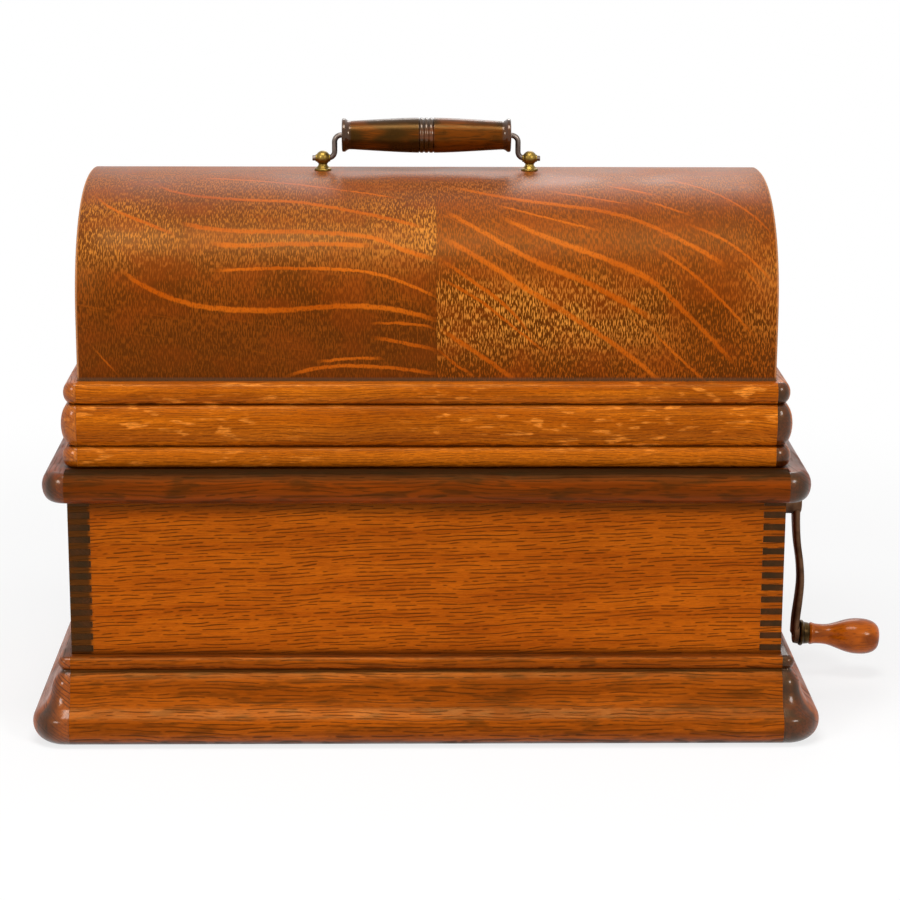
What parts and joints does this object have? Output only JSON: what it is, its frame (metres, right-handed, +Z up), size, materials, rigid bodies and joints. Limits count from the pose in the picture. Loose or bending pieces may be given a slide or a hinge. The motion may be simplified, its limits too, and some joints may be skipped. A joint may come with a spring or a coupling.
{
  "type": "cylinder phonograph",
  "caption": "Spring-driven cylinder phonograph in a moulded oak case, with an arched lift-off lid, a turned carrying grip and a winding crank at its end.",
  "frame": {"origin": "middle of the case's underside, on the surface it stands on", "axes": "+X along the case towards the crank, +Y towards the back, +Z up"},
  "size_m": [0.511, 0.256, 0.3483],
  "materials": {
    "oak": "golden quarter-sawn oak under aged varnish",
    "grip_wood": "dark stained and polished",
    "knob_wood": "glossy varnish",
    "brass": "aged",
    "steel": "satin",
    "iron": "black enamel",
    "bronzed_iron": "oxidised bronze",
    "leather": "worn"
  },
  "bodies": {
    "case": {"case_front": "oak", "case_back": "oak", "case_left": "oak", "case_right": "oak", "case_bottom": "oak", "plinth_front": "oak", "plinth_back": "oak", "plinth_left": "oak", "plinth_right": "oak", "crank_bush": "brass", "case_hinge_left": "iron", "case_hinge_right": "iron"},
    "works": {"works_board": "oak", "rim_front": "oak", "rim_back": "oak", "rim_left": "oak", "rim_right": "oak", "works_hinge_left": "iron", "works_hinge_right": "iron", "bedplate": "iron", "back_rod": "steel", "front_rail": "steel", "motor_frame_left": "iron", "motor_frame_right": "iron", "belt": "leather"},
    "lid": {"lid_shell": "oak", "lid_end_left": "oak", "lid_end_right": "oak", "lid_moulding_front": "oak", "lid_moulding_back": "oak", "lid_moulding_left": "oak", "lid_moulding_right": "oak", "handle_post_left": "brass", "handle_post_right": "brass"},
    "handle": {"handle_bail": "steel"},
    "grip": {"handle_grip": "grip_wood"},
    "crank": {"crank_arm": "bronzed_iron"},
    "knob": {"crank_ferrule": "brass", "crank_knob": "knob_wood"},
    "winder": {"winding_shaft": "steel"},
    "arbor": {"spring_arbor": "steel"},
    "pawl": {"ratchet_pawl": "steel"},
    "barrel": {"spring_barrel": "brass", "great_gear": "brass", "mainspring": "steel"},
    "second": {"second_shaft": "steel"},
    "drive": {"drive_shaft": "steel"},
    "governor": {"governor_spindle": "steel", "governor_weights": "brass", "governor_disc": "iron"},
    "speed_screw": {"speed_screw": "steel"},
    "start_lever": {"start_lever": "steel"},
    "mandrel": {"mandrel": "iron", "feed_screw": "steel"},
    "gate": {"end_gate": "iron"},
    "carriage": {"carriage_bush": "brass"},
    "arm": {"carriage_arm": "iron", "reproducer": "brass"},
    "weight": {"reproducer_weight": "steel"},
    "lift": {"lift_lever": "steel"}
  },
  "joints": [
    {"name": "works_tilt", "type": "hinge", "parent": "case", "child": "works", "pos_m": [0, 0.1087, 0.1393], "axis": [-1, 0, 0], "range_deg": [0, 75]},
    {"name": "lid_lift", "type": "slide", "parent": "works", "child": "lid", "axis": [0, 0, 1], "range_m": [0, 0.2]},
    {"name": "handle_swing", "type": "hinge", "parent": "lid", "child": "handle", "pos_m": [0, 0, 0.3243], "axis": [1, 0, 0], "range_deg": [-70, 70]},
    {"name": "grip_turn", "type": "hinge", "parent": "handle", "child": "grip", "pos_m": [0, 0, 0.3379], "axis": [1, 0, 0], "continuous": true},
    {"name": "crank_turn", "type": "hinge", "parent": "case", "child": "crank", "pos_m": [0.2055, 0, 0.114], "axis": [1, 0, 0], "continuous": true},
    {"name": "knob_spin", "type": "hinge", "parent": "crank", "child": "knob", "pos_m": [0.2295, 0, 0.029], "axis": [0.998, 0, -0.0628], "continuous": true},
    {"name": "winder_turn", "type": "hinge", "parent": "works", "child": "winder", "pos_m": [0.05, 0, 0.114], "axis": [1, 0, 0], "continuous": true},
    {"name": "arbor_turn", "type": "hinge", "parent": "works", "child": "arbor", "pos_m": [0, 0.02967, 0.07463], "axis": [1, 0, 0], "continuous": true},
    {"name": "pawl_swing", "type": "hinge", "parent": "works", "child": "pawl", "pos_m": [0.062, 0.05179, 0.09011], "axis": [1, 0, 0], "range_deg": [0, 20], "stiffness_Nm_per_rad": 0.002, "springref_deg": -14.32},
    {"name": "mandrel_turn", "type": "hinge", "parent": "works", "child": "mandrel", "pos_m": [0, -0.005, 0.205], "axis": [1, 0, 0], "continuous": true},
    {"name": "drive_turn", "type": "hinge", "parent": "works", "child": "drive", "pos_m": [0, -0.02934, 0.0978], "axis": [1, 0, 0], "continuous": true},
    {"name": "second_turn", "type": "hinge", "parent": "works", "child": "second", "pos_m": [0, -0.02278, 0.06057], "axis": [1, 0, 0], "continuous": true},
    {"name": "barrel_turn", "type": "hinge", "parent": "works", "child": "barrel", "pos_m": [0, 0.02967, 0.07463], "axis": [1, 0, 0], "continuous": true},
    {"name": "governor_turn", "type": "hinge", "parent": "works", "child": "governor", "pos_m": [0, -0.04964, 0.0978], "axis": [1, 0, 0], "continuous": true},
    {"name": "speed_screw_turn", "type": "hinge", "parent": "works", "child": "speed_screw", "pos_m": [-0.062, -0.04964, 0.0888], "axis": [1, 0, 0], "continuous": true},
    {"name": "start_lever_turn", "type": "hinge", "parent": "works", "child": "start_lever", "pos_m": [-0.053, -0.06604, 0.1668], "axis": [0, 0, 1], "range_deg": [0, 25]},
    {"name": "gate_swing", "type": "hinge", "parent": "works", "child": "gate", "pos_m": [0.134, 0.03, 0.205], "axis": [0, 0, 1], "range_deg": [0, 85]},
    {"name": "carriage_slide", "type": "slide", "parent": "works", "child": "carriage", "axis": [1, 0, 0], "range_m": [0, 0.1]},
    {"name": "carriage_lift", "type": "hinge", "parent": "carriage", "child": "arm", "pos_m": [-0.117, 0.05, 0.205], "axis": [-1, 0, 0], "range_deg": [0, 25]},
    {"name": "weight_swing", "type": "hinge", "parent": "arm", "child": "weight", "pos_m": [0.022, 0.008, 0.237], "axis": [1, 0, 0], "range_deg": [-2, 4]},
    {"name": "lift_lever_turn", "type": "hinge", "parent": "arm", "child": "lift", "pos_m": [0.022, -0.049, 0.247], "axis": [-1, 0, 0], "range_deg": [0, 80]}
  ],
  "couplings": [
    {"joint": "winder_turn", "follows": "crank_turn", "ratio": 1},
    {"joint": "arbor_turn", "follows": "crank_turn", "ratio": -0.4},
    {"joint": "drive_turn", "follows": "mandrel_turn", "ratio": 1.9459},
    {"joint": "second_turn", "follows": "mandrel_turn", "ratio": -0.48649},
    {"joint": "barrel_turn", "follows": "mandrel_turn", "ratio": 0.097297},
    {"joint": "governor_turn", "follows": "mandrel_turn", "ratio": -5.8378}
  ]
}
